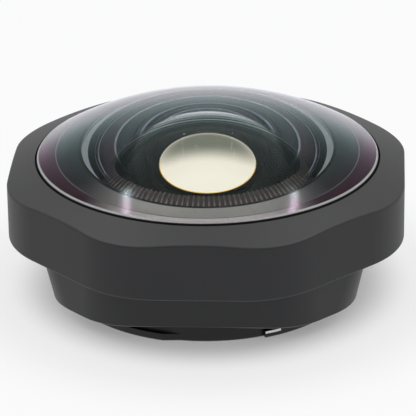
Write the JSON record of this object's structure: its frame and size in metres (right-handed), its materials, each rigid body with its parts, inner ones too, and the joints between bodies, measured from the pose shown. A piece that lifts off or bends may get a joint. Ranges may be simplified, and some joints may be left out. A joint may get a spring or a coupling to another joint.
{
  "type": "wide-angle conversion lens",
  "caption": "Wide-angle conversion lens with a domed front glass in an octagonal housing, on a narrower tapered housing with a twist-lock bayonet ring.",
  "frame": {"origin": "centre of the foot, on the plane of the mount ring's rear face", "axes": "+Z along the optical axis and out of the front glass, -Y the side that faces the viewer, +X to the viewer's right"},
  "size_m": [0.046, 0.046, 0.0219],
  "materials": {
    "shell_black": "fine satin anodised, dark grey black",
    "ring_black": "satin anodised, near black",
    "mark_white": "white paint fill",
    "front_glass": "polished, with a magenta and green reflection coating",
    "inner_glass": "polished and coated",
    "barrel_black": "matt black anodised",
    "shim_brass": "plain rolled",
    "seal_rubber": "matt black",
    "screw_steel": "blackened"
  },
  "bodies": {
    "lens_body": {"front_housing": "shell_black", "rear_housing": "shell_black", "mount_ring": "ring_black", "index_mark": "mark_white", "front_lens_element": "front_glass", "second_lens_element": "inner_glass", "third_lens_element": "inner_glass", "rear_lens_element": "inner_glass", "inner_barrel": "barrel_black", "inner_retaining_ring": "barrel_black", "light_baffle": "barrel_black", "element_spacer": "barrel_black", "rear_spacer": "barrel_black", "rear_retaining_ring": "barrel_black", "barrel_shim": "shim_brass", "glass_seat_gasket": "seal_rubber", "glass_edge_seal": "seal_rubber", "barrel_seal": "seal_rubber", "housing_seal": "seal_rubber", "mount_seal": "seal_rubber", "housing_screws": "screw_steel", "mount_screws": "screw_steel", "detent_screw": "screw_steel", "detent_spring": "screw_steel"},
    "click_stop": {"detent_plunger": "screw_steel"}
  },
  "joints": [
    {"name": "click_stop_slide", "type": "slide", "parent": "lens_body", "child": "click_stop", "axis": [0, 0, 1], "range_m": [0, 0.0006], "stiffness_N_per_m": 500, "springref_m": -0.001, "deforming": ["detent_spring"]}
  ]
}
